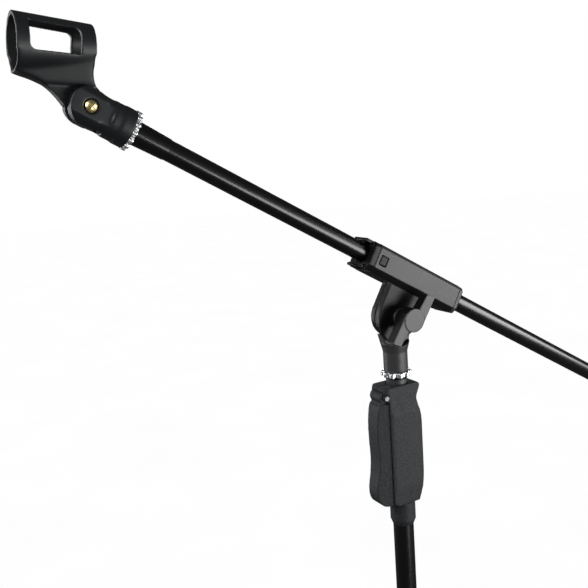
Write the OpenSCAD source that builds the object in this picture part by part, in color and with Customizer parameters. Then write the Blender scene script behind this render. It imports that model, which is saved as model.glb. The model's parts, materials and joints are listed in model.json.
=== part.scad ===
// Microphone boom stand with a one-hand height clutch. Millimetres, +Z up.
// The origin is on the shaft's axis, on the floor. The boom lies in the XZ plane, with the
// microphone clip at its high end towards -X and its tail towards +X.

/* [Stand] */
// Height of the boom's tilt pivot above the floor, with the shaft fully lowered
pivot_h = 964.5; // [900:0.5:1100]
// Outer diameter of the lower tube
lower_d = 19; // [19:0.5:22]
// Outer diameter of the upper tube
upper_d = 16; // [15:0.5:16]
// Wall of the steel tubes
tube_wall = 1.2; // [1:0.1:1.2]
// Length of the upper tube
upper_l = 730; // [500:10:760]

/* [Boom] */
// Outer diameter of the boom tube
boom_d = 16; // [15:0.5:16]
// Boom angle below horizontal, towards the tail
boom_tilt = 30.3; // [0:0.1:45]
// Height of the boom's axis above the tilt pivot, square to the boom
boom_rise = 37.3; // [36:0.1:44]
// Distance from the pivot's foot on the boom to the tube's tip
boom_front = 276.7; // [200:0.1:400]
// Distance from the pivot's foot on the boom to the tail's end
boom_back = 370.3; // [200:0.1:500]

/* [Microphone clip] */
// Outer radius of the barrel at its wide mouth
clip_r_wide = 20.2; // [18:0.1:22]
// Outer radius of the barrel at its narrow end
clip_r_narrow = 16; // [14:0.1:18]
// Length of the barrel
clip_l = 52.5; // [45:0.5:60]
// Wall of the barrel
clip_wall = 2.8; // [2:0.1:3.5]
// Radius of the round seat at the barrel's narrow end
clip_seat_r = 13.3; // [12:0.1:14]
// Barrel angle below horizontal
clip_tilt = 4.7; // [0:0.1:30]

/* [Tripod] */
// Radius of the leg pins from the shaft's axis
leg_pin_r = 33; // [30:1:40]
// Height of the leg pins above the floor
leg_pin_h = 82; // [70:1:100]
// Length of a leg from its pin to the end of its tube
leg_l = 304; // [240:2:340]
// Outer diameter of the leg tubes
leg_d = 16; // [14:1:18]

/* [Hidden] */
$fn = 96;
slack = 0.3;                        // gap between bodies that only pass each other
running = 0.05;                     // radial clearance of a running fit
eps = 0.01;
shaft_drop = 4.5;                   // the shaft's datum, from the pivot down

// Radii along the shaft, and heights above its datum
lower_r = lower_d / 2;
upper_r = upper_d / 2;
boom_r = boom_d / 2;
socket_r = 11;
socket_low = -46;                   // lower rim of the swivel socket
upper_top = -34;                    // top of the upper tube, inside the socket
ring_z = [-50.6, -46.3];            // lock ring
neck_top = -53;
grip_top = -57.5;
grip_low = -171.5;
collar_low = -194;
tube_top = -112;                    // top of the lower tube, inside the clutch
plate_z = -84;                      // middle of the brake plates
collar_r = 11.8;
core_r = 10.6;
lever_pin_at = [-19.5, -66.5];      // x and z of the lever's pin
lever_pin_r = 2.2;

// Clamp, in the boom's own frame: X along the boom, Z square to it, origin at the pivot
bolt_r = 4;
house_x = [-49, 49];                // the housing between its end caps
house_half = 15;
house_top = 49.4;
house_side = 28.5;                  // foot of the housing's flat side
house_low = 23.4;
front_end = -55;
rear_end = 53.8;
leg_y = [-11.5, -4.8];              // the clamp's near leg
leg_sweep = 23.6;                   // radius of its round end about the pivot
tongue_y = [-4.5, 1.2];
cheek_y = [1.5, 7.5];               // the clamp's far leg
cheek_sweep = 19.3;
tilt_stops = [-64.7, 75.3];         // boom angles at which the clamp's legs meet the socket
knob_y = [-19.5, -31];

// Clip pivot, from the tilt pivot
clip_t = -314.2;
clip_at = [clip_t * cos(boom_tilt) + boom_rise * sin(boom_tilt),
           -clip_t * sin(boom_tilt) + boom_rise * cos(boom_tilt)];
clip_rise = 39.8;                   // barrel axis above the clip pivot
clip_x = -48;                       // wide mouth from the clip pivot
clip_land = 10;                     // length of the round seat
base_r = 14;
fork_y = 5;                         // half the gap between the fork's cheeks
fork_half = 12.4;

// Legs
leg_angles = [180, 60, 300];
foot_r = 11;
leg_slope = asin((leg_pin_h - foot_r * 0.82) / (leg_l + 8));
leg_pin_rad = 3;
knuckle_half = 6.6;
ear_gap = 7;
ear_out = 12;
hub_z = [50, 98];
tube_foot = 44;

// ---- helpers ----

// Smooth curve through a few points, n steps between neighbours
function curve(p, n = 5) = [
    for (i = [0 : len(p) - 2], k = [0 : n - 1])
        let (a = p[max(i - 1, 0)], b = p[i], c = p[i + 1], d = p[min(i + 2, len(p) - 1)], t = k / n)
            0.5 * ((2 * b) + (c - a) * t + (2 * a - 5 * b + 4 * c - d) * t * t
                   + (3 * b - a - 3 * c + d) * t * t * t),
    p[len(p) - 1]];

// Arc of radius r about c, from angle a to angle b
function arc(c, r, a, b, n = 8) = [for (i = [0 : n]) let (q = a + (b - a) * i / n) c + r * [cos(q), sin(q)]];

module at_pivot() translate([0, 0, pivot_h]) children();
module on_boom() at_pivot() rotate([0, boom_tilt, 0]) children();
module at_shaft() translate([0, 0, pivot_h - shaft_drop]) children();
module on_clip() at_pivot() translate([clip_at[0], 0, clip_at[1]]) rotate([0, clip_tilt, 0]) children();
module on_leg(a) rotate([0, 0, a]) translate([leg_pin_r, 0, leg_pin_h]) rotate([0, leg_slope, 0]) children();

// Cylinder along +Y from y0 to y1, centred on x, z
module bar_y(r, y0, y1, x = 0, z = 0)
    translate([x, y0, z]) rotate([-90, 0, 0]) cylinder(r = r, h = y1 - y0);

// Cylinder along +X from x0 to x1, centred on y = 0, z
module bar_x(r, x0, x1, z = 0, r2 = -1)
    translate([x0, 0, z]) rotate([0, 90, 0]) cylinder(r1 = r, r2 = r2 < 0 ? r : r2, h = x1 - x0);

// Box between two corners
module box(a, b) translate(a) cube(b - a);

// An outline of x, z points, extruded from y0 to y1
module slab(outline, y0, y1)
    translate([0, y1, 0]) rotate([90, 0, 0]) linear_extrude(y1 - y0) polygon(outline);

module pipe(r, wall, z0, z1) translate([0, 0, z0]) difference() {
    cylinder(r = r, h = z1 - z0);
    translate([0, 0, -1]) cylinder(r = r - wall, h = z1 - z0 + 2);
}

// Coil spring about +Z: radius of its wire's centre line, the wire's radius, pitch and turns
module coil(r, wire, pitch, turns) {
    sides = 8;
    steps = 20 * turns;
    points = [for (i = [0 : steps], k = [0 : sides - 1])
        let (q = 360 * turns * i / steps, w = 360 * k / sides)
            [(r + wire * cos(w)) * cos(q), (r + wire * cos(w)) * sin(q),
             wire * sin(w) + pitch * turns * i / steps]];
    skin = [for (i = [0 : steps - 1], k = [0 : sides - 1])
        let (a = i * sides + k, b = i * sides + (k + 1) % sides) [a, a + sides, b + sides, b]];
    polyhedron(points, concat(skin, [[for (k = [0 : sides - 1]) k]],
                              [[for (k = [sides - 1 : -1 : 0]) steps * sides + k]]), 3);
}

// Toothed washer about +Z, its teeth standing out by depth
module toothed_ring(r, bore, h, teeth, depth) difference() {
    union() {
        cylinder(r = r - depth, h = h);
        for (i = [0 : teeth - 1]) rotate([0, 0, 360 * i / teeth])
            translate([r - depth, 0, 0]) cylinder(r = PI * r / teeth * 0.62, h = h, $fn = 24);
    }
    translate([0, 0, -1]) cylinder(r = bore, h = h + 2);
}

// ---- microphone clip ----

clip_window = concat([[-39.4, 53.6], [-39.4, 38]], arc([-35.6, 37.6], 3.8, 180, 264, 4),
    [[-6, 33.4], [-5.6, 45]], arc([-9.8, 46.6], 4.2, 0, 84, 4));
clip_neck = concat(
    curve([[-49.6, 21.5], [-44, 19.2], [-36.9, 17], [-27.4, 12.4], [-21, 6.5], [-15.9, 0]]),
    [[0, 0]], [[10.2, 9.2]], curve([[10.2, 9.2], [5.6, 15.5], [3.8, 22.4], [3.9, 31]]));
neck_flare = [[-13.4, 31], [-6.1, base_r + slack], [6.1, base_r + slack], [13.4, 31]];

module clip_barrel() color([0.05, 0.05, 0.055]) on_clip() difference() {
    union() {
        bar_x(clip_r_wide, clip_x, clip_x + clip_l, clip_rise, clip_r_narrow);
        intersection() {
            slab(clip_neck, -14, 14);
            translate([-60, 0, 0]) rotate([90, 0, 90]) linear_extrude(80) polygon(neck_flare);
        }
        intersection() {
            slab(clip_neck, -fork_y + slack, fork_y - slack);
            box([-60, -20, -1], [20, 20, 30]);
        }
        bar_y(12.6, -fork_y + slack, fork_y - slack);
    }
    bar_x(clip_r_wide - clip_wall, clip_x - 0.01, clip_x + clip_l - clip_land, clip_rise, clip_seat_r);
    bar_x(clip_seat_r, clip_x + clip_l - clip_land - 1, clip_x + clip_l + 1, clip_rise);
    slab(clip_window, -30, 30);
    bar_y(2.5, -20, 20);
}

module clip_base() color([0.06, 0.06, 0.065]) on_boom() difference() {
    union() {
        intersection() {
            bar_x(base_r, clip_t, clip_t + 32.5, boom_rise);
            box([clip_t, -fork_half, 15], [clip_t + 34, fork_half, 60]);
        }
        bar_x(base_r, clip_t + 16.5, clip_t + 32.5, boom_rise);
        bar_x(base_r + 0.5, clip_t + 24, clip_t + 32.5, boom_rise);
        intersection() {
            bar_y(base_r, -fork_half, fork_half, clip_t, boom_rise);
            bar_x(base_r + 0.6, clip_t - 20, clip_t + 10, boom_rise);
        }
    }
    box([clip_t - 20, -fork_y, 15], [clip_t + 14.6, fork_y, 60]);
    bar_x(7.9, clip_t + 19.5, clip_t + 36, boom_rise);
    bar_y(2.5, -20, 20, clip_t, boom_rise);
    bar_y(5.2, -20, -fork_half + 2.2, clip_t, boom_rise);
    bar_y(4.7, fork_half - 3.4, 20, clip_t, boom_rise, $fn = 6);
}

module clip_thread_ring() color([0.85, 0.85, 0.87]) on_boom() translate([clip_t + 32.5, 0, boom_rise])
    rotate([0, 90, 0]) {
        toothed_ring(13.9, 6.9, 3.4, 14, 0.5);
        translate([0, 0, -12]) pipe(7.85, 0.95, 0, 12 + eps);
    }

module clip_screw() color([0.8, 0.65, 0.3]) on_boom() translate([clip_t, 0, boom_rise]) difference() {
    union() {
        bar_y(2.4, -fork_half + 2.2, fork_half - 0.4);
        bar_y(4, -fork_half + 0.2, -fork_half + 2.2);
        intersection() {
            translate([0, -fork_half + 4, 0]) sphere(r = 5.8);
            bar_y(4, -fork_half - 1.8, -fork_half + 0.2 + eps);
        }
    }
    for (q = [20, 110]) rotate([0, q, 0]) box([-2.4, -20, -0.55], [2.4, -fork_half - 0.2, 0.55]);
}

module clip_nut() color([0.75, 0.75, 0.77]) on_boom() translate([clip_t, 0, boom_rise]) difference() {
    bar_y(4.6, fork_half - 3.3, fork_half - 0.2, $fn = 6);
    bar_y(2.42, -20, 20);
}

// ---- boom ----

module boom_tube() color([0.08, 0.08, 0.085]) on_boom() difference() {
    bar_x(boom_r, -boom_front + 2, boom_back - 4, boom_rise);
    bar_x(boom_r - tube_wall, -boom_front - 1, boom_back, boom_rise);
}

// Threaded tip: the thread, a shoulder and the tapered sleeve that covers the tube's end
module boom_ferrule() color([0.07, 0.07, 0.075]) on_boom() difference() {
    union() {
        bar_x(6.85, -boom_front - 17, -boom_front, boom_rise);
        bar_x(9.2, -boom_front, -boom_front + 26, boom_rise, 8.4);
    }
    bar_x(boom_r + 0.03, -boom_front + 2, -boom_front + 30, boom_rise);
    bar_x(4.4, -boom_front - 21, -boom_front + 30, boom_rise);
}

module boom_tail_cap() color([0.05, 0.05, 0.05]) on_boom() {
    bar_x(boom_r - tube_wall - running, boom_back - 24, boom_back - 4, boom_rise);
    bar_x(boom_r + 0.8, boom_back - 4, boom_back - 2, boom_rise);
    bar_x(boom_r + 0.8, boom_back - 2, boom_back, boom_rise, boom_r - 0.8);
}

// ---- boom clamp ----

// Section of the clamp's body, in y and z: flat sides, a bevelled top and a narrower foot
house_section = [[-house_half, house_side], [-house_half, 46], [-house_half + 2.2, house_top - 0.8],
                 [-house_half + 4.5, house_top], [house_half - 4.5, house_top],
                 [house_half - 2.2, house_top - 0.8], [house_half, 46], [house_half, house_side],
                 [house_half - 3, house_low], [-house_half + 3, house_low]];
module house_bar(x0, x1, shrink = 0) translate([x0, 0, 0]) rotate([90, 0, 90]) linear_extrude(x1 - x0)
    translate([0, boom_rise * shrink]) scale(1 - shrink) polygon(house_section);

// The near leg: straight down from the housing, with a round end about the pivot that is cut
// away towards the tail, where the knob's lower wing passes
near_leg = concat(arc([0, 0], leg_sweep, 180, 282, 12), [[12, -16], [16.5, -9.5], [leg_sweep - 0.3, 0],
                  [leg_sweep - 0.3, house_low + 4], [-leg_sweep, house_low + 4]]);

module clamp_housing() color([0.13, 0.13, 0.135]) on_boom() difference() {
    union() {
        house_bar(house_x[0], house_x[1]);
        slab(near_leg, leg_y[0], leg_y[1]);
        bar_y(cheek_sweep, cheek_y[0], cheek_y[1]);
        box([-cheek_sweep, cheek_y[0], 0], [cheek_sweep, cheek_y[1], house_low + 4]);
    }
    bar_x(boom_r + slack, -80, 80, boom_rise);
    bar_y(bolt_r + running, -40, 40);
    bar_y(7.2, cheek_y[1] - 2.6, 30, $fn = 6);
    box([-10.2, -9.2, 26.5], [10.2, 9.2, boom_rise]);
    for (s = [-1, 1]) {
        box([house_x[0] - 1, min(s * 10.6, s * 12.8), 32], [-38, max(s * 10.6, s * 12.8), 43]);
        box([-46, min(s * 12, s * 20), 32], [-38, max(s * 12, s * 20), 40.6]);
    }
}

module clamp_front_cap() color([0.1, 0.1, 0.105]) on_boom() difference() {
    union() {
        house_bar(front_end, house_x[0], 0.02);
        box([front_end - 8, -9.5, 46], [front_end + 2, 9.5, house_top - 0.5]);
        box([front_end - 4, -9.5, house_low + 0.4], [front_end + 2, 9.5, house_low + 3.6]);
        box([front_end - 9.5, -3.5, house_low - 0.8], [front_end + 2, 3.5, house_low + 1.6]);
        for (s = [-1, 1]) {
            box([house_x[0] - 1, min(s * 10.8, s * 12.6), 32.2], [-38.6, max(s * 10.8, s * 12.6), 42.8]);
            box([-45.8, min(s * 12, s * 15.1), 32.5], [-38.6, max(s * 12, s * 15.1), 40.4]);
        }
    }
    bar_x(boom_r + slack, -90, 80, boom_rise);
}

module clamp_rear_cap() color([0.1, 0.1, 0.105]) on_boom() difference() {
    union() {
        house_bar(house_x[1], rear_end - 0.8, 0.02);
        house_bar(rear_end - 0.8, rear_end, 0.06);
    }
    bar_x(boom_r + slack, -80, 80, boom_rise);
}

// Friction block that the bolt's cam presses against the boom
module boom_shoe() color([0.2, 0.2, 0.2]) on_boom() difference() {
    box([-9.8, -8.9, 26.8], [9.8, 8.9, boom_rise - 1]);
    bar_x(boom_r + 0.06, -20, 20, boom_rise);
}

module pivot_bolt() color([0.55, 0.55, 0.57]) on_boom() {
    bar_y(bolt_r, -26, cheek_y[1] - 2.4);
    bar_y(7, cheek_y[1] - 2.5, cheek_y[1] + 1.6, $fn = 6);
}

module friction_washers() color([0.35, 0.2, 0.12]) on_boom() {
    for (y = [tongue_y[0] - 0.25, tongue_y[1] + 0.05]) difference() {
        bar_y(10, y, y + 0.2);
        bar_y(bolt_r + 0.2, -40, 40);
    }
}

// Two-winged knob: a round hub with one wing up and one wing down, set off to opposite sides
knob_r = 10.4;
knob_wing = [[0, 5], [0, -3], [10.4, -3], [12, 26.4], [3, 25.6]];
module wing_knob() color([0.16, 0.16, 0.17]) on_boom() difference() {
    union() {
        bar_y(knob_r, knob_y[1], knob_y[0]);
        bar_y(8.2, knob_y[0] - 1, leg_y[0] - 1.4);
        for (q = [0, 180]) rotate([0, q, 0]) slab(knob_wing, knob_y[1] + 0.6, knob_y[0] - 1);
    }
    bar_y(5.6, -28, 0);
}

module knob_insert() color([0.75, 0.6, 0.3]) on_boom() difference() {
    bar_y(5.55, -27.6, leg_y[0] - 1.6, $fn = 6);
    bar_y(bolt_r + running, -40, 0);
}

module knob_washer() color([0.7, 0.7, 0.72]) on_boom() difference() {
    bar_y(8, leg_y[0] - 1.2, leg_y[0] - 0.05);
    bar_y(bolt_r + 0.2, -40, 0);
}

// ---- swivel and shaft ----

module swivel_socket() color([0.1, 0.1, 0.105]) difference() {
    union() {
        difference() {
            at_shaft() rotate_extrude() polygon([[0, socket_low], [socket_r, socket_low], [socket_r, -28],
                                                 [13.2, -19.5], [15.8, -9], [0, -9]]);
            at_pivot() {
                bar_y(leg_sweep + 2.4, -40, tongue_y[0]);
                bar_y(cheek_sweep + 1.2, tongue_y[1], 40);
                for (q = tilt_stops) rotate([0, q, 0]) {
                    box([-leg_sweep - 0.5, -40, 2], [leg_sweep + 0.5, tongue_y[0], 30]);
                    box([-cheek_sweep - 0.4, tongue_y[1], 2], [cheek_sweep + 0.4, 40, 30]);
                }
            }
        }
        at_pivot() bar_y(13.5, tongue_y[0], tongue_y[1]);
        intersection() {
            at_pivot() box([-16, tongue_y[0], -26], [16, tongue_y[1], 0]);
            at_shaft() rotate_extrude() polygon([[0, -30], [11.5, -30], [13.5, -20], [13.5, 6], [0, 6]]);
        }
    }
    at_pivot() bar_y(bolt_r + running, -40, 40);
    at_shaft() translate([0, 0, socket_low - 1]) cylinder(r = upper_r + 0.1, h = upper_top - socket_low + 1);
    at_shaft() translate([0, 0, upper_top - 1]) cylinder(r = 6.9, h = 5);
}

module lock_ring() color([0.85, 0.85, 0.87]) at_shaft() translate([0, 0, ring_z[0]])
    toothed_ring(13.2, upper_r + running, ring_z[1] - ring_z[0], 10, 1.8);

module upper_tube() color([0.08, 0.08, 0.085]) at_shaft()
    pipe(upper_r, tube_wall, upper_top - upper_l, upper_top);

module upper_stud() color([0.6, 0.6, 0.62]) at_shaft() {
    translate([0, 0, upper_top - 20]) cylinder(r = upper_r - tube_wall - 0.02, h = 20);
    translate([0, 0, upper_top]) cylinder(r = 6.85, h = 3.6);
}

module shaft_guide() color([0.3, 0.3, 0.3]) at_shaft() translate([0, 0, upper_top - upper_l]) {
    translate([0, 0, -12]) cylinder(r = lower_r - tube_wall - running, h = 12);
    cylinder(r = upper_r - tube_wall - 0.02, h = 14);
}

// ---- one-hand clutch ----

// Grip outlines: side view in x, z, and plan in x, y
grip_back = curve([[14.4, grip_top], [17, -60], [15.4, -65], [12.9, -71.5], [14.6, -80], [18.6, -91],
                   [21.6, -104], [22.9, -118], [22, -133], [19, -148], [15.4, -160], [13.3, -167],
                   [12, grip_low]], 3);
grip_side = concat(grip_back, [[-12, grip_low], [-17.4, -168], [-17.4, -71.6], [-22.4, -68],
                               [-22.6, -60], [-20, grip_top]]);
grip_plan = concat(arc([8.6, 0], 14.4, 62, 0, 6), arc([8.6, 0], 14.4, 0, -62, 6),
                   [[1, -13.1], [-14, -12.8], [-18.5, -11.4], [-23, -7.4],
                    [-23, 7.4], [-18.5, 11.4], [-14, 12.8], [1, 13.1]]);

// Front view in y, z: a waist under the neck, and a narrower foot
grip_half_front = curve([[11.7, grip_top], [11.9, -66], [12.3, -78], [13.6, -92], [14.4, -108], [14.4, -126],
                         [13.7, -144], [12.6, -160], [11.8, grip_low]], 3);
grip_front = concat(grip_half_front, [for (i = [len(grip_half_front) - 1 : -1 : 0])
                                          [-grip_half_front[i][0], grip_half_front[i][1]]]);

grip_screw_at = [[12.8, -104], [13.2, -124], [12.8, -146]];

module grip_cavities() {
    translate([0, 0, grip_top - 15]) cylinder(r = lower_r + 0.03, h = 20);
    translate([0, 0, -77]) cylinder(r = core_r + 0.03, h = 8);
    box([-12.4, -10.7, -93], [12.4, 10.7, -76.9]);
    translate([0, 0, grip_low - 5]) cylinder(r = core_r + 0.03, h = 91);
    box([-40, -10.95, -190], [-6, 10.95, -71.6]);
    box([-40, -8.2, -74], [-11.6, 8.2, -60.4]);
    bar_y(lever_pin_r + 0.02, -20, 20, lever_pin_at[0], lever_pin_at[1]);
    for (p = grip_screw_at) {
        bar_y(1.55, -9, 9, p[0], p[1]);
        bar_y(3.1, 9, 20, p[0], p[1]);
    }
}

module grip_half(s) at_shaft() difference() {
    intersection() {
        slab(grip_side, -16, 16);
        translate([0, 0, grip_low]) linear_extrude(grip_top - grip_low) polygon(grip_plan);
        translate([-60, 0, 0]) rotate([90, 0, 90]) linear_extrude(120) polygon(grip_front);
        box([-60, s > 0 ? 0 : -20, -200], [60, s > 0 ? 20 : 0, 0]);
    }
    grip_cavities();
}
module grip_shell_left() color([0.2, 0.2, 0.205]) grip_half(1);
module grip_shell_right() color([0.2, 0.2, 0.205]) grip_half(-1);

module grip_screws() color([0.5, 0.5, 0.52]) at_shaft()
    for (p = grip_screw_at) {
        bar_y(1.5, -8.6, 9.1, p[0], p[1]);
        bar_y(3, 9.05, 10.6, p[0], p[1]);
    }

module neck_bush() color([0.09, 0.09, 0.095]) at_shaft() difference() {
    union() {
        translate([0, 0, -76]) cylinder(r = core_r, h = 6);
        translate([0, 0, -71]) cylinder(r = lower_r, h = 71 + neck_top);
    }
    translate([0, 0, -80]) cylinder(r = upper_r + running, h = 40);
}

// Holds the lower tube, guides the upper one, and ends in the collar under the grip
module clutch_core() color([0.17, 0.17, 0.175]) at_shaft() difference() {
    rotate_extrude() polygon([[0, collar_low], [10.1, collar_low], [collar_r, -189.5], [collar_r, grip_low],
                              [core_r, grip_low], [core_r, -97], [0, -97]]);
    translate([0, 0, -200]) cylinder(r = lower_r + 0.02, h = 200 + tube_top);
    translate([0, 0, -200]) cylinder(r = upper_r + running, h = 140);
}

lever_front = curve([[-19.5, -72.2], [-24.8, -73], [-27.4, -80], [-28.9, -93], [-28.8, -108], [-28, -125],
                     [-29.4, -139], [-32, -151], [-32, -158.5], [-29.4, -165], [-24.5, -169.2],
                     [-17.2, -169.4]], 4);
lever_side = concat(lever_front, [[-17, -166], [-15, -73]]);
lever_inside = concat(curve([[-19, -75], [-24.6, -80], [-26.3, -93], [-26.2, -108], [-25.4, -125],
                             [-26.8, -139], [-29.4, -151], [-29.4, -157.5], [-26, -163.4],
                             [-21, -166.6]], 3), [[-10, -166.6], [-10, -75]]);

module trigger_lever() color([0.2, 0.2, 0.205]) at_shaft() difference() {
    union() {
        difference() {
            intersection() {
                slab(lever_side, -12, 12);
                translate([0, 0, -190]) linear_extrude(130)
                    polygon([[-34, -5.6], [-31, -7], [-24, -8.8], [-17, -10.55], [-10, -10.55],
                             [-10, 10.55], [-17, 10.55], [-24, 8.8], [-31, 7], [-34, 5.6]]);
            }
            intersection() {
                slab(lever_inside, -12, 12);
                translate([0, 0, -190]) linear_extrude(130)
                    polygon([[-34, -3.4], [-24, -6.6], [-17, -8.4], [-8, -8.4],
                             [-8, 8.4], [-17, 8.4], [-24, 6.6], [-34, 3.4]]);
            }
        }
        bar_y(5.6, -7.9, 7.9, lever_pin_at[0], lever_pin_at[1]);
        box([lever_pin_at[0] - 4.2, -7.9, -75.2], [lever_pin_at[0] + 3.4, 7.9, lever_pin_at[1] + 1.6]);
        box([-17, -6, -80], [-12.6, 6, -73]);
    }
    bar_y(lever_pin_r + running, -20, 20, lever_pin_at[0], lever_pin_at[1]);
    bar_y(4.2, -4, 4, lever_pin_at[0], lever_pin_at[1]);
    box([lever_pin_at[0], -4, lever_pin_at[1] - 4.2], [lever_pin_at[0] + 8, 4, lever_pin_at[1] + 4.2]);
    box([-20.6, -8.4, -190], [0, 8.4, -82]);
}

module lever_pin() color([0.75, 0.75, 0.77]) at_shaft()
    bar_y(lever_pin_r, -11.6, 11.6, lever_pin_at[0], lever_pin_at[1]);

// Torsion spring wound on the lever's pin
module lever_spring() color([0.6, 0.6, 0.62]) at_shaft()
    translate([lever_pin_at[0], -2.6, lever_pin_at[1]]) rotate([-90, 0, 0]) coil(3, 0.5, 1.3, 4);

// Two locking plates that grip the upper tube when they tilt, joined by the round edge they tilt on
module brake_plates() color([0.6, 0.6, 0.62]) at_shaft() translate([11.6, 0, plate_z]) rotate([0, -1.8, 0]) {
    for (z = [-2.4, 0.2]) difference() {
        box([-23.2, -10.2, z], [0, 10.2, z + 2.2]);
        translate([-11.6, 0, z - 1]) cylinder(r = upper_r + 0.55, h = 5);
    }
    bar_y(0.7, -10.2, 10.2);
}

// Coil spring that pushes the brake plates down, open enough for their travel
module brake_spring() color([0.7, 0.7, 0.72]) at_shaft()
    translate([0, 0, -80.4]) coil(9.3, 0.6, 1.35, 2);

// ---- lower tube and tripod ----

module lower_tube() color([0.08, 0.08, 0.085])
    pipe(lower_r, tube_wall, tube_foot, pivot_h - shaft_drop + tube_top);

module tube_plug() color([0.05, 0.05, 0.05]) {
    translate([0, 0, tube_foot]) cylinder(r = lower_r - tube_wall - 0.04, h = 18);
    translate([0, 0, tube_foot - 4]) cylinder(r1 = lower_r - 1, r2 = lower_r, h = 4);
}

module tripod_hub() color([0.09, 0.09, 0.095]) difference() {
    union() {
        translate([0, 0, hub_z[0]]) rotate_extrude() polygon([[0, 0], [15, 0], [18, 3], [18, 34], [20, 36],
            [20, 42], [13.5, 48], [0, 48]]);
        for (a = leg_angles) rotate([0, 0, a]) {
            bar_y(10.5, -ear_out, ear_out, leg_pin_r, leg_pin_h);
            box([8, -ear_out, leg_pin_h - 10.5], [leg_pin_r, ear_out, leg_pin_h + 10.5]);
        }
    }
    translate([0, 0, hub_z[0] - 1]) cylinder(r = lower_r + 0.03, h = 60);
    for (a = leg_angles) rotate([0, 0, a]) {
        box([leg_pin_r - 10, -ear_gap, leg_pin_h - 20], [leg_pin_r + 20, ear_gap, leg_pin_h + 20]);
        bar_y(leg_pin_rad + 0.02, -20, 20, leg_pin_r, leg_pin_h);
    }
    translate([0, 0, 58]) rotate([0, 90, 0]) cylinder(r = 3.02, h = 40);
}

module hub_screw() color([0.6, 0.6, 0.62]) difference() {
    translate([lower_r, 0, 58]) rotate([0, 90, 0]) cylinder(r = 3, h = 9.4);
    translate([lower_r + 5, 0, 58]) rotate([0, 90, 0]) cylinder(r = 1.6, h = 9, $fn = 6);
}

module leg_pins() color([0.7, 0.7, 0.72])
    for (a = leg_angles) rotate([0, 0, a]) {
        bar_y(leg_pin_rad, -ear_out - 1, ear_out + 1, leg_pin_r, leg_pin_h);
        bar_y(4.6, -ear_out - 2.4, -ear_out, leg_pin_r, leg_pin_h);
    }

module leg_knuckle(a) color([0.09, 0.09, 0.095]) on_leg(a) difference() {
    union() {
        bar_y(8.4, -knuckle_half, knuckle_half);
        bar_x(6.4, 0, 16);
        bar_x(leg_d / 2 - tube_wall - 0.02, 14, 42);
    }
    bar_y(leg_pin_rad + running, -20, 20);
}

module leg_tube(a) color([0.08, 0.08, 0.085]) on_leg(a) difference() {
    bar_x(leg_d / 2, 16, leg_l);
    bar_x(leg_d / 2 - tube_wall, 10, leg_l + 5);
}

module foot(a) color([0.04, 0.04, 0.04]) intersection() {
    on_leg(a) difference() {
        union() {
            bar_x(9.4, leg_l - 44, leg_l - 36, 0, foot_r);
            bar_x(foot_r, leg_l - 36, leg_l + 8);
            bar_x(foot_r, leg_l + 8, leg_l + 12, 0, foot_r - 4);
        }
        bar_x(leg_d / 2 + 0.01, leg_l - 60, leg_l);
    }
    translate([-500, -500, 0]) cube([1000, 1000, 300]);
}

module leg_knuckle_1() leg_knuckle(leg_angles[0]);
module leg_knuckle_2() leg_knuckle(leg_angles[1]);
module leg_knuckle_3() leg_knuckle(leg_angles[2]);
module leg_tube_1() leg_tube(leg_angles[0]);
module leg_tube_2() leg_tube(leg_angles[1]);
module leg_tube_3() leg_tube(leg_angles[2]);
module foot_1() foot(leg_angles[0]);
module foot_2() foot(leg_angles[1]);
module foot_3() foot(leg_angles[2]);

clip_barrel();
clip_base();
clip_thread_ring();
clip_screw();
clip_nut();
boom_tube();
boom_ferrule();
boom_tail_cap();
clamp_housing();
clamp_front_cap();
clamp_rear_cap();
boom_shoe();
pivot_bolt();
friction_washers();
wing_knob();
knob_insert();
knob_washer();
swivel_socket();
lock_ring();
upper_tube();
upper_stud();
shaft_guide();
neck_bush();
grip_shell_left();
grip_shell_right();
grip_screws();
trigger_lever();
lever_pin();
lever_spring();
brake_plates();
brake_spring();
clutch_core();
lower_tube();
tube_plug();
tripod_hub();
hub_screw();
leg_pins();
leg_knuckle_1();
leg_knuckle_2();
leg_knuckle_3();
leg_tube_1();
leg_tube_2();
leg_tube_3();
foot_1();
foot_2();
foot_3();
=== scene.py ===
import json
import math
import bmesh
import bpy
from mathutils import Matrix, Vector


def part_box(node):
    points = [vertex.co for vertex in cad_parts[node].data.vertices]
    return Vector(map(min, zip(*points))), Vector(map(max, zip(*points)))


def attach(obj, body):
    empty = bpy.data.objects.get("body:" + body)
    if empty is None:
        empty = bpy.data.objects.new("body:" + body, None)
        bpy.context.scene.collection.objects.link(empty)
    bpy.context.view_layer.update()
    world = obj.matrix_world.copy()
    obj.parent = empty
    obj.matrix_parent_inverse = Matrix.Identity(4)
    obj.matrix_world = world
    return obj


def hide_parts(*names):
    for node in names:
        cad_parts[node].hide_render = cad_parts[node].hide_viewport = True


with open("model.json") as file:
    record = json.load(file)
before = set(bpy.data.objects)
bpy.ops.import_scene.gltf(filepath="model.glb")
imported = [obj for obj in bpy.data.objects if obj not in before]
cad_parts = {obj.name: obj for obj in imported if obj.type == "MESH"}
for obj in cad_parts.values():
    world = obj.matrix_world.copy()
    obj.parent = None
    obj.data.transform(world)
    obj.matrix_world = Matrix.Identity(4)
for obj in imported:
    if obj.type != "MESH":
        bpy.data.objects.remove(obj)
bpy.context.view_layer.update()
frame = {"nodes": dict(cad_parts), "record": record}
nodes = frame["nodes"]
body_of = {n: b for b, v in frame["record"]["behaviour"]["bodies"].items() for n in v}
scene = bpy.context.scene
MM = 0.001
DETAIL = 1.0


def centre(node):
    lo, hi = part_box(node)
    return (lo + hi) / 2


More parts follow.
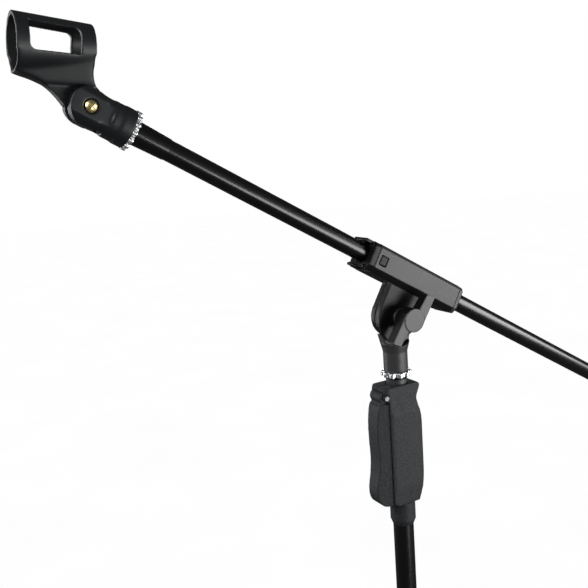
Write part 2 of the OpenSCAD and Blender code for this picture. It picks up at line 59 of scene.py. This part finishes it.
# ---------------------------------------------------------------- frames
# BOOM and CLIP lie along the boom and the clip at rest, with their origins on the two pivots.
PIVOT = Vector((0, 0, centre("pivot_bolt").z))
CLIP_PIVOT = Vector((centre("clip_screw").x, 0, centre("clip_screw").z))
TILT = math.radians(30.3)
CLIP_TILT = math.radians(4.7)
BOOM = Matrix.Translation(PIVOT) @ Matrix.Rotation(TILT, 4, "Y")
CLIP = Matrix.Translation(CLIP_PIVOT) @ Matrix.Rotation(CLIP_TILT, 4, "Y")
CLIP_ALONG, _, RISE = BOOM.inverted() @ CLIP_PIVOT      # the clip's pivot, seen from the boom's

# ---------------------------------------------------------------- camera
YAW, PITCH, ROLL = 0.502882, -0.185837, -0.0727992       # radians
SENSOR_MM, LENS_MM = 36, 47.328367
FROM_LOCK_RING = Vector((-0.40146, -0.54897, 0.20569))   # from the lock ring's centre to the camera
look = Vector((math.sin(YAW) * math.cos(PITCH), math.cos(YAW) * math.cos(PITCH), math.sin(PITCH)))
level_right = Vector((math.cos(YAW), -math.sin(YAW), 0))
level_up = level_right.cross(look)
right = math.cos(ROLL) * level_right + math.sin(ROLL) * level_up
up = -math.sin(ROLL) * level_right + math.cos(ROLL) * level_up
cam_data = bpy.data.cameras.new("camera")
cam_data.sensor_width = SENSOR_MM
cam_data.lens = LENS_MM
cam_data.clip_start, cam_data.clip_end = 0.02, 60
cam = bpy.data.objects.new("camera", cam_data)
scene.collection.objects.link(cam)
basis = Matrix((right, up, -look)).transposed().to_4x4()
cam.matrix_world = Matrix.Translation(centre("lock_ring") + FROM_LOCK_RING) @ basis
scene.camera = cam


# ---------------------------------------------------------------- materials
GRAIN_DEPTH, WAVE_DEPTH = 0.12 * MM, 0.6 * MM    # relief of the grain and of the broad unevenness


def new_material(name):
    m = bpy.data.materials.new(name)
    m.use_nodes = True
    t = m.node_tree
    for n in list(t.nodes):
        t.nodes.remove(n)
    out = t.nodes.new("ShaderNodeOutputMaterial")
    p = t.nodes.new("ShaderNodeBsdfPrincipled")
    t.links.new(p.outputs["BSDF"], out.inputs["Surface"])
    return m, t, p


def noise(t, where, scale, detail=2.0, rough=0.5, stretch=None):
    """A noise value from 0 to 1; stretch is (rotation, scale), for brushed finishes."""
    n = t.nodes.new("ShaderNodeTexNoise")
    n.inputs["Scale"].default_value = scale
    n.inputs["Detail"].default_value = detail
    n.inputs["Roughness"].default_value = rough
    if stretch:
        k = t.nodes.new("ShaderNodeMapping")
        k.inputs["Rotation"].default_value = stretch[0]
        k.inputs["Scale"].default_value = stretch[1]
        t.links.new(where, k.inputs["Vector"])
        where = k.outputs["Vector"]
    t.links.new(where, n.inputs["Vector"])
    return n.outputs["Fac"]


def spread(t, value, a, b):
    """Takes the middle of a noise's range to the range from a to b."""
    n = t.nodes.new("ShaderNodeMapRange")
    n.inputs["From Min"].default_value = 0.3
    n.inputs["From Max"].default_value = 0.7
    n.inputs["To Min"].default_value = a
    n.inputs["To Max"].default_value = b
    t.links.new(value, n.inputs["Value"])
    return n.outputs["Result"]


def ramp(t, value, stops):
    n = t.nodes.new("ShaderNodeValToRGB")
    e = n.color_ramp.elements
    e[0].position, e[0].color = stops[0][0], (*stops[0][1], 1)
    e[1].position, e[1].color = stops[-1][0], (*stops[-1][1], 1)
    for s in stops[1:-1]:
        k = e.new(s[0])
        k.color = (*s[1], 1)
    t.links.new(value, n.inputs["Fac"])
    return n.outputs["Color"]


def bump(t, height, strength, distance, under=None):
    n = t.nodes.new("ShaderNodeBump")
    n.inputs["Strength"].default_value = strength
    n.inputs["Distance"].default_value = distance
    t.links.new(height, n.inputs["Height"])
    if under is not None:
        t.links.new(under, n.inputs["Normal"])
    return n.outputs["Normal"]


def surface(name, dark, light, rough, grain, grain_mm, metal=0.0, spec=0.5, brushed=None, wave_mm=14.0,
            wave=0.02):
    """A finish whose colour and gloss vary slightly over the surface, and its relief too if it has
    a grain. rough is the range of its roughness; grain and wave are the strengths of its relief."""
    m, t, p = new_material(name)
    c = t.nodes.new("ShaderNodeTexCoord").outputs["Object"]
    broad = noise(t, c, 1000 / (wave_mm * 3), 3, 0.55)
    fine = noise(t, c, 1000 / grain_mm, 3, 0.6, brushed)
    t.links.new(ramp(t, broad, [(0.3, dark), (0.72, light)]), p.inputs["Base Color"])
    t.links.new(spread(t, fine, rough[0], rough[1]), p.inputs["Roughness"])
    if grain:
        low = bump(t, broad, wave, WAVE_DEPTH)
        t.links.new(bump(t, fine, grain, GRAIN_DEPTH, low), p.inputs["Normal"])
    p.inputs["Metallic"].default_value = metal
    p.inputs["Specular IOR Level"].default_value = spec
    return m


NEUTRAL, COOL = (1.0, 1.0, 1.0), (0.97, 0.99, 1.03)


def grey(v, tint=NEUTRAL):
    return tuple(v * k for k in tint)


M = {     # the finish of each slot
    "tube_black": surface("tube_black", grey(0.0022), grey(0.0035, COOL), (0.235, 0.245), 0.0, 9.0),
    "clamp_plastic": surface("clamp_plastic", grey(0.02, COOL), grey(0.026, COOL), (0.42, 0.52), 0.4, 0.55),
    "knob_plastic": surface("knob_plastic", grey(0.03, COOL), grey(0.038, COOL), (0.4, 0.5), 0.3, 0.5),
    "grip_plastic": surface("grip_plastic", (0.0045, 0.006, 0.007), (0.0175, 0.0205, 0.0225), (0.5, 0.72),
                            2.4, 0.9, spec=0.34, wave_mm=0.55, wave=0.5),
    "clip_plastic": surface("clip_plastic", (0.0045, 0.0053, 0.0064), (0.007, 0.0082, 0.0096), (0.4, 0.5),
                            0.3, 0.6),
    "chrome": surface("chrome", grey(0.9), grey(0.96, COOL), (0.3, 0.4), 0.08, 2.5, metal=1.0),
    "steel": surface("steel", grey(0.42), grey(0.52), (0.25, 0.38), 0.25, 0.5, metal=1.0,
                     brushed=((0, 0, 0), (1, 1, 8))),
    "brass_plate": surface("brass_plate", (0.93, 0.72, 0.28), (1.0, 0.86, 0.44), (0.3, 0.4), 0.12, 1.2,
                           metal=1.0),
    "cast_hub": surface("cast_hub", grey(0.012), grey(0.017), (0.4, 0.55), 0.6, 0.9),
    "rubber": surface("rubber", grey(0.012), grey(0.018), (0.62, 0.8), 0.6, 0.6, spec=0.35),
    "friction_fibre": surface("friction_fibre", (0.16, 0.08, 0.04), (0.25, 0.13, 0.07), (0.7, 0.9), 0.8, 0.5,
                              spec=0.3),
}
FINISH = {     # finishes of single pieces or faces, inside the slots above; two of them are painted shade
    # painted shade: a darker, duller copy of the clamp plastic, put where the clamp lies in shadow
    "clamp_painted_shade": surface("clamp_painted_shade", grey(0.0035), grey(0.006, COOL), (0.32, 0.4), 0.15, 0.8, spec=0.16),
    # painted shade: the lever's spring is made black so that the notch in the grip reads as a dark gap
    "spring_painted_shade": surface("spring_painted_shade", grey(0.05), grey(0.08), (0.4, 0.5), 0.2, 0.5, metal=0.8),
    "pin_steel": surface("pin_steel", grey(0.14), grey(0.2), (0.45, 0.55), 0.1, 0.5, metal=1.0),
}


def finish_slot(o, material):
    o.data.materials.clear()
    o.data.materials.append(material)


# ---------------------------------------------------------------- mesh tools
WELD = 0.002 * MM                # corners closer than this are joined
FADE = 3                         # mm over which a fillet band starts and stops
LIP = 0.3 * MM                   # the broken edge at a tube's end
RING_STEP = 8 * MM               # between the rings of corners along a tube
SEGMENTS = 72                    # round a tube
SHARP = math.radians(28)         # edges that turn more than this stay sharp


def baked(o):
    """The object's mesh with its modifiers applied; the object keeps no modifier."""
    dg = bpy.context.evaluated_depsgraph_get()
    mesh = bpy.data.meshes.new_from_object(o.evaluated_get(dg), depsgraph=dg)
    o.modifiers.clear()
    old, o.data = o.data, mesh
    bpy.data.meshes.remove(old)
    return mesh


def merged_copy(node):
    """A joined-up copy of a CAD node's mesh, free of split corners and custom normals."""
    bm = bmesh.new()
    bm.from_mesh(nodes[node].data)
    bmesh.ops.remove_doubles(bm, verts=bm.verts, dist=WELD)
    mesh = bpy.data.meshes.new(node + "_form")
    bm.to_mesh(mesh)
    bm.free()
    return mesh


def far(rounds):
    """Rounds of smoothing that reach equally far at coarser voxels."""
    return int(rounds / DETAIL ** 2)


def moulded(node, voxel, rounds, slot, keep, blend=None, finish=None, under=None):
    """Stands for a CAD node: the same form with the soft edges of a moulded or plated part. voxel is
    in mm, and keep is the share of the faces left at the end. blend is (place, axis, low, high,
    rounds): the band in mm along that frame's axis whose corners are filleted. under is (place,
    axis, limit, material): the finish of what lies below a limit on that frame's axis."""
    o = bpy.data.objects.new(node + "_form", merged_copy(node))
    scene.collection.objects.link(o)
    r = o.modifiers.new("remesh", "REMESH")
    r.mode, r.voxel_size, r.adaptivity, r.use_smooth_shade = "VOXEL", voxel * DETAIL * MM, 0.0, True
    s = o.modifiers.new("smooth", "SMOOTH")
    s.factor, s.iterations = 0.5, rounds
    if blend:
        baked(o)
        place, axis, low, high, times = blend
        back = place.inverted()
        group = o.vertex_groups.new(name="fillet")
        for v in o.data.vertices:
            q = (back @ v.co)[axis] / MM
            k = min(q - low, high - q) / FADE
            if k > 0:
                group.add([v.index], min(1.0, k), "REPLACE")
        s = o.modifiers.new("fillet", "SMOOTH")
        s.factor, s.iterations, s.vertex_group = 0.5, times, "fillet"
    d = o.modifiers.new("decimate", "DECIMATE")
    d.ratio = keep
    mesh = baked(o)
    finish_slot(o, finish or M[slot])
    for f in mesh.polygons:
        f.use_smooth = True
    # the faces below the limit take the second material; here that paints shade
    if under:
        place, axis, limit, below = under
        back = place.inverted()
        mesh.materials.append(below)
        for f in mesh.polygons:
            if (back @ f.center)[axis] < limit:
                f.material_index = 1
    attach(o, body_of[node])
    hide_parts(node)


def extent(node, place):
    """Along a round part's own X axis: (low end, high end, outer radius, inner radius), in metres."""
    back = place.inverted()
    p = [back @ v.co for v in nodes[node].data.vertices]
    r = [math.hypot(q.y, q.z) for q in p]
    return min(q.x for q in p), max(q.x for q in p), max(r), min(r)


def lathe(name, profile, place, slot, node):
    """Stands for a CAD node: a part turned about the place's X axis, from a closed outline of (x, radius)
    points in metres."""
    bm = bmesh.new()
    rings = [[bm.verts.new(place @ Vector((x, r * math.cos(a), r * math.sin(a))))
              for a in (2 * math.pi * i / SEGMENTS for i in range(SEGMENTS))] for x, r in profile]
    for a, b in zip(rings, rings[1:] + [rings[0]]):
        for i in range(SEGMENTS):
            j = (i + 1) % SEGMENTS
            bm.faces.new((a[i], a[j], b[j], b[i]))
    bmesh.ops.recalc_face_normals(bm, faces=bm.faces)
    for f in bm.faces:
        f.smooth = True
    for e in bm.edges:
        if len(e.link_faces) == 2 and e.calc_face_angle(0) > SHARP:
            e.smooth = False
    mesh = bpy.data.meshes.new(name)
    bm.to_mesh(mesh)
    bm.free()
    o = bpy.data.objects.new(name, mesh)
    scene.collection.objects.link(o)
    finish_slot(o, M[slot])
    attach(o, body_of[node])
    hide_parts(node)


def tube(node, place):
    """A drawn tube with its edges broken at both ends, and rings of corners along it."""
    x0, x1, r, bore = extent(node, place)
    count = round((x1 - x0) / RING_STEP)
    along = [x0 + LIP + (x1 - x0 - 2 * LIP) * i / count for i in range(count + 1)]
    outside = [(x0, r - LIP)] + [(x, r) for x in along] + [(x1, r - LIP)]
    inside = [(x1, bore + LIP)] + [(x, bore) for x in reversed(along)] + [(x0, bore + LIP)]
    lathe(node + "_drawn", outside + inside, place, "tube_black", node)


def leg_frame(n):
    """A frame whose X axis runs down a leg tube, from the middle of its top end to its foot."""
    knuckle = centre("leg_knuckle_" + n)
    turn = math.atan2(knuckle.y, knuckle.x)
    out, lift = Vector((math.cos(turn), math.sin(turn), 0)), Vector((0, 0, 1))
    points = sorted((v.co for v in nodes["leg_tube_" + n].data.vertices), key=lambda p: p.dot(out))
    quarter = len(points) // 4
    top = sum(points[:quarter], Vector()) / quarter
    foot = sum(points[-quarter:], Vector()) / quarter
    axis = (foot - top).normalized()
    side = lift.cross(axis).normalized()
    place = Matrix((axis, side, axis.cross(side))).transposed().to_4x4()
    place.translation = top
    return place


# ---------------------------------------------------------------- pieces that stand for CAD nodes
SHAFT = Matrix.Rotation(-math.pi / 2, 4, "Y")           # its X axis points up
ON_BOOM = BOOM @ Matrix.Translation((0, 0, RISE))
tube("boom_tube", ON_BOOM)
tube("upper_tube", SHAFT)
tube("lower_tube", SHAFT)
for n in "123":
    tube("leg_tube_" + n, leg_frame(n))

NECK_BAND = (12.5, 34)           # mm above the clip's pivot: the neck that flares into the barrel
FORK_BAND = (8, 26)              # mm behind the clip's pivot: the fork that runs into its sleeve
PAINTED_SHADE_BELOW = 28.2 * MM           # below this height over the boom's pivot the housing takes the darker clamp finish, painted shade for its shadowed legs
KNOB_FACE = 1.1 * MM             # the depth of the knob's paler front face; behind it the knob's sides are darkened as painted shade
ON_FORK = BOOM @ Matrix.Translation((CLIP_ALONG, 0, RISE))
FROM_FRONT = Matrix.Rotation(math.pi, 4, "X")
knob_front = -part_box("wing_knob")[0].y
moulded("clip_barrel", 0.45, 5, "clip_plastic", 0.35, blend=(CLIP, 2, *NECK_BAND, far(150)))
moulded("clip_base", 0.45, 5, "clip_plastic", 0.35, blend=(ON_FORK, 0, *FORK_BAND, far(60)))
moulded("clip_thread_ring", 0.28, far(16), "chrome", 0.5)
# painted shade: the housing's legs, under the housing and the knob, take the darker clamp finish
moulded("clamp_housing", 0.5, 3, "clamp_plastic", 0.3, under=(BOOM, 2, PAINTED_SHADE_BELOW, FINISH["clamp_painted_shade"]))
# painted shade: the whole front cap takes the darker clamp finish, for its shaded end
moulded("clamp_front_cap", 0.45, 3, "clamp_plastic", 0.35, finish=FINISH["clamp_painted_shade"])
moulded("clamp_rear_cap", 0.45, 3, "clamp_plastic", 0.35)
# painted shade: the knob's sides behind its front face take the darker clamp finish
moulded("wing_knob", 0.4, 5, "knob_plastic", 0.4,
        under=(FROM_FRONT, 1, knob_front - KNOB_FACE, FINISH["clamp_painted_shade"]))
moulded("swivel_socket", 0.45, 4, "clamp_plastic", 0.35)
moulded("lock_ring", 0.25, far(26), "chrome", 0.4)
moulded("grip_shell_left", 0.55, far(12), "grip_plastic", 0.35)
moulded("grip_shell_right", 0.55, far(12), "grip_plastic", 0.35)
moulded("trigger_lever", 0.5, 6, "grip_plastic", 0.35)
moulded("tripod_hub", 0.7, 4, "cast_hub", 0.35)
for n in "123":
    moulded("leg_knuckle_" + n, 0.6, 4, "cast_hub", 0.35)
    moulded("foot_" + n, 0.6, 4, "rubber", 0.35)

# ---------------------------------------------------------------- CAD nodes that show
SHOWN = {
    "clip_screw": "brass_plate", "clip_nut": "chrome",
    "boom_ferrule": "tube_black", "boom_tail_cap": "rubber",
    "boom_shoe": "clamp_plastic", "pivot_bolt": "steel", "friction_washers": "friction_fibre",
    "knob_insert": "brass_plate", "knob_washer": "chrome",
    "upper_stud": "steel", "shaft_guide": "clamp_plastic",
    "neck_bush": "clamp_plastic", "grip_screws": "steel", "lever_pin": "chrome",
    "lever_spring": "steel", "brake_plates": "steel", "brake_spring": "steel",
    "clutch_core": "grip_plastic", "tube_plug": "rubber",
    "hub_screw": "steel", "leg_pins": "chrome",
}
# the spring's black is painted shade; the pin's finish is a duller steel
OWN_FINISH = {"lever_spring": "spring_painted_shade", "lever_pin": "pin_steel"}
for n, s in SHOWN.items():
    finish_slot(nodes[n], FINISH[OWN_FINISH[n]] if n in OWN_FINISH else M[s])

# ---------------------------------------------------------------- floor, light
WORLD_SEEN, WORLD_LIT = 1.0, 0.06     # the studio's white as the camera sees it, and as it lights
FLOOR_RADIUS, FLOOR_LIT = 14, 0.08    # metres, and the floor's grey as it lights the object
CONTACT = 0.09                        # metres that the contact shadow reaches


def lamp(name, at, aim, size, radiance, spin=0.0):
    """A soft box: its brightness is given, and its power follows from its area."""
    d = bpy.data.lights.new(name, "AREA")
    d.shape = "RECTANGLE"
    d.size, d.size_y = size
    d.energy = radiance * math.pi * size[0] * size[1]
    o = bpy.data.objects.new(name, d)
    scene.collection.objects.link(o)
    o.location = at
    o.visible_camera = False
    o.rotation_mode = "QUATERNION"
    aim_turn = (Vector(aim) - Vector(at)).to_track_quat("-Z", "Y")
    o.rotation_quaternion = aim_turn @ Matrix.Rotation(math.radians(spin), 3, "Z").to_quaternion()


def shaded(tree, out, seen, lit):
    """The camera sees one shader, and the object is lit by the other."""
    pick = tree.nodes.new("ShaderNodeMixShader")
    path = tree.nodes.new("ShaderNodeLightPath")
    tree.links.new(path.outputs["Is Camera Ray"], pick.inputs["Fac"])
    tree.links.new(lit, pick.inputs[1])
    tree.links.new(seen, pick.inputs[2])
    tree.links.new(pick.outputs["Shader"], out.inputs["Surface"])


def glow(tree, value):
    """An even white background of a given brightness."""
    n = tree.nodes.new("ShaderNodeBackground")
    n.inputs["Color"].default_value = (1, 1, 1, 1)
    n.inputs["Strength"].default_value = value
    return n.outputs[0]


world = bpy.data.worlds.new("studio")
scene.world = world
world.use_nodes = True
wt = world.node_tree
for n in list(wt.nodes):
    wt.nodes.remove(n)
shaded(wt, wt.nodes.new("ShaderNodeOutputWorld"), glow(wt, WORLD_SEEN), glow(wt, WORLD_LIT))
scene.view_settings.view_transform = "Standard"

bm = bmesh.new()
bmesh.ops.create_circle(bm, cap_ends=True, segments=96, radius=FLOOR_RADIUS)
mesh = bpy.data.meshes.new("floor")
bm.to_mesh(mesh)
bm.free()
floor = bpy.data.objects.new("floor", mesh)
scene.collection.objects.link(floor)
fm = bpy.data.materials.new("floor_paper")
fm.use_nodes = True
ft = fm.node_tree
for n in list(ft.nodes):
    ft.nodes.remove(n)
near = ft.nodes.new("ShaderNodeAmbientOcclusion")
near.inputs["Distance"].default_value = CONTACT
near.samples = 8
white = ft.nodes.new("ShaderNodeEmission")
fc = ft.nodes.new("ShaderNodeTexCoord").outputs["Object"]
paper = ramp(ft, noise(ft, fc, 3, 2), [(0.3, grey(0.985)), (0.7, grey(1.0))])
ft.links.new(paper, near.inputs["Color"])
ft.links.new(near.outputs["Color"], white.inputs["Color"])
dull = ft.nodes.new("ShaderNodeBsdfDiffuse")
dull.inputs["Color"].default_value = (*grey(FLOOR_LIT), 1)
shaded(ft, ft.nodes.new("ShaderNodeOutputMaterial"), white.outputs[0], dull.outputs[0])
finish_slot(floor, fm)

# name, place, aim, size in metres, radiance
lamp("strip", (1.06, -1.4, 0.68), (0, 0, 0.98), (2.3, 0.55), 10.0, spin=30)
lamp("left", (-2.05, -0.65, 2.3), (0, 0, 0.95), (1.3, 1.3), 11.0)
lamp("rim_left", (-1.5, 1.95, 1.0), (0, 0, 0.9), (0.5, 2.0), 8.0)
lamp("rim_right", (2.3, -1.0, 1.1), (0, 0, 0.9), (0.4, 1.6), 4.0)
lamp("back", (0.8, 3.0, 1.5), (0, 0, 0.8), (1.2, 1.2), 4.0)
